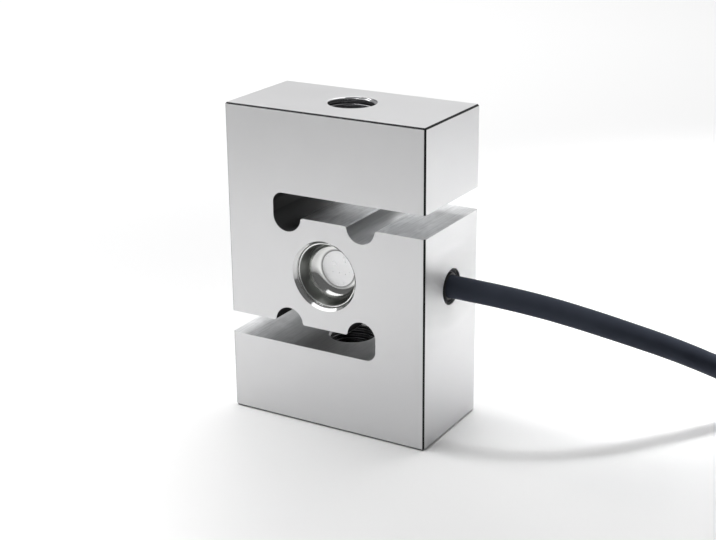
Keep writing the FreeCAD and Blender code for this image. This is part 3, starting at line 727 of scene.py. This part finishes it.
def tie_head(foot, way):
    """The head and its tail, on the slope between the two upper layers."""
    slope = Vector((way.y, -way.x))
    shape = bmesh.new()
    for low, high, rounding in HEAD_BLOCKS:
        sides = list(zip(low, high))
        block = bmesh.ops.create_cube(shape, size=1.0)["verts"]
        for vert in block:
            down, aside, off = ((a + b) / 2 + (b - a) * part for (a, b), part in zip(sides, vert.co))
            vert.co = tie_place(foot + slope * down + way * off, aside)
        edges = list({edge for vert in block for edge in vert.link_edges})
        bmesh.ops.bevel(
            shape, geom=edges, offset=rounding * MM, segments=3, profile=0.5, affect="EDGES"
        )
    return finished(shape, "tie_head", 50.0)


def make_tie():
    line, ways = tie_line()
    at_head = int(TIE_STEPS * HEAD_ANGLE / 360)
    shape = bmesh.new()
    for part in (tie_strap(line, ways), tie_head(line[at_head], ways[at_head])):
        shape.from_mesh(part)
        bpy.data.meshes.remove(part)
    return add_piece("tie", finished(shape, "tie", 50.0), "tie_nylon", ["coil_tie"])


tie = make_tie()

end_pieces = ["end_sleeve"]
for colour in ("red", "black", "green", "white"):
    end_pieces += ["flying_lead_" + colour, "lead_tip_" + colour]


# Floor and lights


def make_floor():
    shape = bmesh.new()
    bmesh.ops.create_grid(shape, x_segments=1, y_segments=1, size=3.0)
    mesh = bpy.data.meshes.new("floor")
    shape.to_mesh(mesh)
    shape.free()
    floor = bpy.data.objects.new("floor", mesh)
    scene.collection.objects.link(floor)
    shader = Shader("floor_paint")
    paint = shader.mix(shader.noise(3.0), grey(0.91), grey(0.93))
    shader.sets(Base_Color=paint, Roughness=0.7, Specular_IOR_Level=0.2)
    mesh.materials.append(shader.material)


def add_light(data, place, target, power):
    data.energy = power
    light = bpy.data.objects.new(data.name, data)
    scene.collection.objects.link(light)
    light.location = place
    light.rotation_mode = "QUATERNION"
    light.rotation_quaternion = (Vector(target) - Vector(place)).to_track_quat("-Z", "Y")


def make_panel(name, place, target, width, height, power):
    """A flat, evenly bright lamp."""
    data = bpy.data.lights.new(name, "AREA")
    data.shape = "RECTANGLE"
    data.size, data.size_y = width, height
    add_light(data, place, target, power)


def make_pool(name, place, target, size, spread, power):
    """A round lamp whose light fades out to nothing at spread from its target on the floor."""
    data = bpy.data.lights.new(name, "SPOT")
    data.shadow_soft_size = size
    data.spot_size = 2 * math.atan(spread / (Vector(target) - Vector(place)).length)
    data.spot_blend = 1.0
    add_light(data, place, target, power)


def make_world():
    """A soft cyclorama: brightest behind and above the object, darkest low on the front."""
    world = bpy.data.worlds.new("studio")
    scene.world = world
    world.use_nodes = True
    tree = world.node_tree
    place = tree.nodes.new("ShaderNodeTexCoord")
    toward = tree.nodes.new("ShaderNodeVectorMath")
    toward.operation = "DOT_PRODUCT"
    toward.inputs[1].default_value = (-0.15, 0.84, 0.45)
    tree.links.new(place.outputs["Generated"], toward.inputs[0])
    ramp = tree.nodes.new("ShaderNodeMapRange")
    ramp.interpolation_type = "SMOOTHSTEP"
    # From facing a little away to facing straight along it, the light goes from faint to bright
    facing, strength = (-0.3, 1.0), (0.15, 0.62)
    for socket, value in zip(ramp.inputs[1:5], (*facing, *strength)):
        socket.default_value = value
    tree.links.new(toward.outputs["Value"], ramp.inputs[0])
    background = tree.nodes["Background"]
    tree.links.new(ramp.outputs[0], background.inputs["Strength"])
    background.inputs["Color"].default_value = (1, 1, 1, 1)


make_floor()
make_world()
make_panel("back_floor", (-0.3, 1.0, 1.1), (-0.3, 0.9, 0), 1.2, 0.7, 7.0)
make_pool("front_pool", (-0.075, -0.125, 0.45), (-0.075, -0.125, 0), 0.08, 0.17, 5.4)
make_pool("right_pool", (0.1, 0.14, 0.45), (0.1, 0.14, 0), 0.05, 0.18, 12.0)
make_pool("left_fill", (-0.7, 0.05, 0.9), (-0.25, 0.3, 0), 0.15, 0.6, 22.0)
make_panel("overhead", (-0.35, -0.25, 0.5), (-0.29, -0.08, 0.05), 0.8, 0.32, 1.05)
scene.view_settings.view_transform = "Standard"
